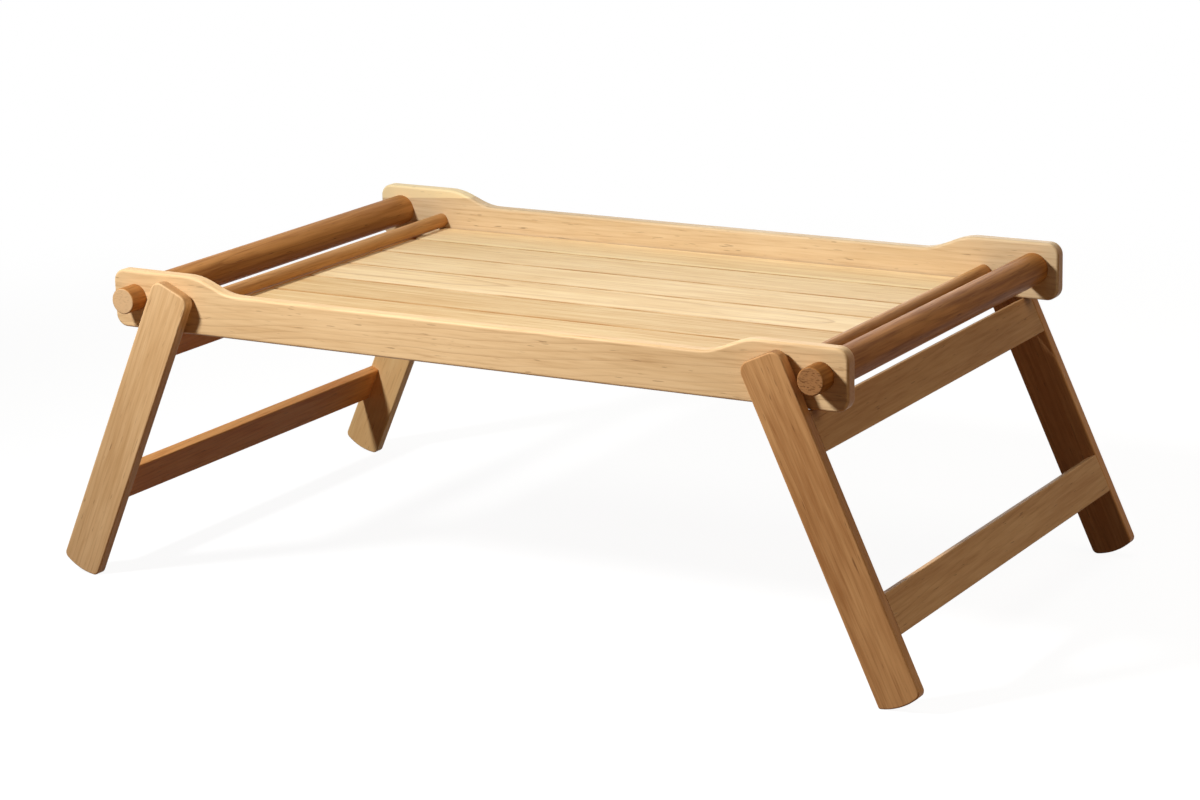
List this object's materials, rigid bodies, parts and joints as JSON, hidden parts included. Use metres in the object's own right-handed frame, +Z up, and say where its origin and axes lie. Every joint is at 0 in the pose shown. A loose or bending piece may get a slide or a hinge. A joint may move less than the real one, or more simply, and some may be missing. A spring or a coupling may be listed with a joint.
{
  "type": "bed tray table",
  "caption": "Slatted wooden bed tray with raised side rails, round end bars for carrying and splayed leg frames that fold up under the tray.",
  "frame": {"origin": "on the floor under the middle of the tray, legs standing", "axes": "+X along the tray to the right, +Y to the back, +Z up"},
  "size_m": [0.7572, 0.4196, 0.2534],
  "materials": {
    "rail_wood": "oiled hardwood, satin, honey coloured",
    "slat_wood": "oiled hardwood, satin, pale honey",
    "bar_wood": "oiled hardwood, satin, nut brown, turned",
    "leg_wood": "oiled hardwood, satin, light brown",
    "washer_brass": "satin",
    "screw_steel": "plated"
  },
  "bodies": {
    "tray": {"side_rail_front": "rail_wood", "side_rail_back": "rail_wood", "slat_1": "slat_wood", "slat_2": "slat_wood", "slat_3": "slat_wood", "slat_4": "slat_wood", "slat_5": "slat_wood", "slat_6": "slat_wood", "slat_7": "slat_wood", "batten_left": "rail_wood", "batten_middle": "rail_wood", "batten_right": "rail_wood", "end_bar_left": "bar_wood", "pivot_rod_left": "bar_wood", "pivot_washer_left_front": "washer_brass", "pivot_washer_left_back": "washer_brass", "end_bar_right": "bar_wood", "pivot_rod_right": "bar_wood", "pivot_washer_right_front": "washer_brass", "pivot_washer_right_back": "washer_brass", "slat_screws": "screw_steel"},
    "leg_frame_left": {"leg_left_front": "leg_wood", "leg_left_back": "leg_wood", "upper_stretcher_left": "leg_wood", "lower_stretcher_left": "leg_wood"},
    "leg_frame_right": {"leg_right_front": "leg_wood", "leg_right_back": "leg_wood", "upper_stretcher_right": "leg_wood", "lower_stretcher_right": "leg_wood"}
  },
  "joints": [
    {"name": "leg_fold_left", "type": "hinge", "parent": "tray", "child": "leg_frame_left", "pos_m": [-0.257, 0, 0.22596], "axis": [0, -1, 0], "range_deg": [0, 106]},
    {"name": "leg_fold_right", "type": "hinge", "parent": "tray", "child": "leg_frame_right", "pos_m": [0.257, 0, 0.22596], "axis": [0, 1, 0], "range_deg": [0, 106]}
  ]
}
